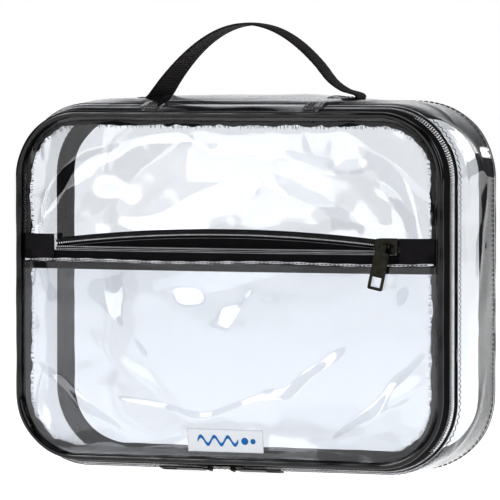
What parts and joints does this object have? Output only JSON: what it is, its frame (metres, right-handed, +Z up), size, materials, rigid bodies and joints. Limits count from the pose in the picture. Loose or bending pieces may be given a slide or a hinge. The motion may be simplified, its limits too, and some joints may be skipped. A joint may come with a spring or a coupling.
{
  "type": "clear make-up train case",
  "caption": "Clear zip-round make-up case with black piping, a flip-up front lid, a zipped front pocket and a webbing carry handle.",
  "frame": {"origin": "middle of the flat base of the side band, on the surface that the case stands on", "axes": "+X to the right of the front, along the width; +Y from the front lid to the back panel; +Z up"},
  "size_m": [0.306, 0.1001, 0.2905],
  "materials": {
    "clear_sheet": "clear flexible vinyl, glossy",
    "gloss_piping": "glossy black vinyl",
    "piping_core": "filler cord",
    "woven_tape": "woven polyester tape",
    "zip_coil": "nylon coil, satin",
    "webbing": "ribbed webbing",
    "label": "white woven label",
    "gunmetal": "dark gunmetal, satin"
  },
  "bodies": {
    "case": {"back_panel": "clear_sheet", "gusset": "clear_sheet", "hinge_strip": "clear_sheet", "rear_piping": "gloss_piping", "rear_piping_core": "piping_core", "rear_binding": "woven_tape", "gusset_zip_tape": "woven_tape", "gusset_zip_coil": "zip_coil", "zip_end_tab_left": "gloss_piping", "zip_end_tab_right": "gloss_piping", "handle_anchor_left": "webbing", "handle_anchor_right": "webbing"},
    "lid": {"front_panel": "clear_sheet", "front_piping": "gloss_piping", "front_piping_core": "piping_core", "front_binding": "woven_tape", "lid_zip_tape": "woven_tape", "lid_zip_coil": "zip_coil", "pocket_panel": "clear_sheet", "pocket_front_tape": "woven_tape", "pocket_front_coil": "zip_coil", "pocket_rear_tape": "woven_tape", "pocket_rear_coil": "zip_coil", "pocket_zip_tab_left": "woven_tape", "pocket_zip_tab_right": "woven_tape", "label": "label"},
    "handle": {"handle_strap": "webbing"},
    "pocket_zip_slider": {"pocket_slider": "gunmetal"},
    "pocket_zip_pull": {"pocket_pull": "gunmetal"},
    "left_zip_slider": {"main_slider_left": "gunmetal"},
    "right_zip_slider": {"main_slider_right": "gunmetal"},
    "left_zip_pull": {"main_pull_left": "gunmetal"},
    "right_zip_pull": {"main_pull_right": "gunmetal"}
  },
  "joints": [
    {"name": "lid_hinge", "type": "hinge", "parent": "case", "child": "lid", "pos_m": [0, -0.0408, 0.2342], "axis": [-1, 0, 0], "range_deg": [0, 120], "deforming": ["lid_zip_tape", "lid_zip_coil"]},
    {"name": "handle_swing", "type": "hinge", "parent": "case", "child": "handle", "pos_m": [0, 0, 0.2402], "axis": [1, 0, 0], "range_deg": [-50, 50], "stiffness_Nm_per_rad": 0.02},
    {"name": "pocket_slider_run", "type": "slide", "parent": "lid", "child": "pocket_zip_slider", "axis": [-1, 0, 0], "range_m": [0, 0.22], "deforming": ["pocket_rear_tape", "pocket_rear_coil", "pocket_front_tape", "pocket_front_coil"]},
    {"name": "pocket_pull_swing", "type": "hinge", "parent": "pocket_zip_slider", "child": "pocket_zip_pull", "pos_m": [0.11, -0.05205, 0.148], "axis": [-1, 0, 0], "range_deg": [0, 150]},
    {"name": "left_slider_run", "type": "slide", "parent": "case", "child": "left_zip_slider", "axis": [-1, 0, 0], "range_m": [0, 0.078]},
    {"name": "right_slider_run", "type": "slide", "parent": "case", "child": "right_zip_slider", "axis": [1, 0, 0], "range_m": [0, 0.088]},
    {"name": "left_pull_swing", "type": "hinge", "parent": "left_zip_slider", "child": "left_zip_pull", "pos_m": [-0.0159, -0.03188, 0.00165], "axis": [0, -0.9659, 0.2588], "range_deg": [0, 90]},
    {"name": "right_pull_swing", "type": "hinge", "parent": "right_zip_slider", "child": "right_zip_pull", "pos_m": [-0.0001, -0.03188, 0.00165], "axis": [0, 0.9659, -0.2588], "range_deg": [0, 90]}
  ]
}
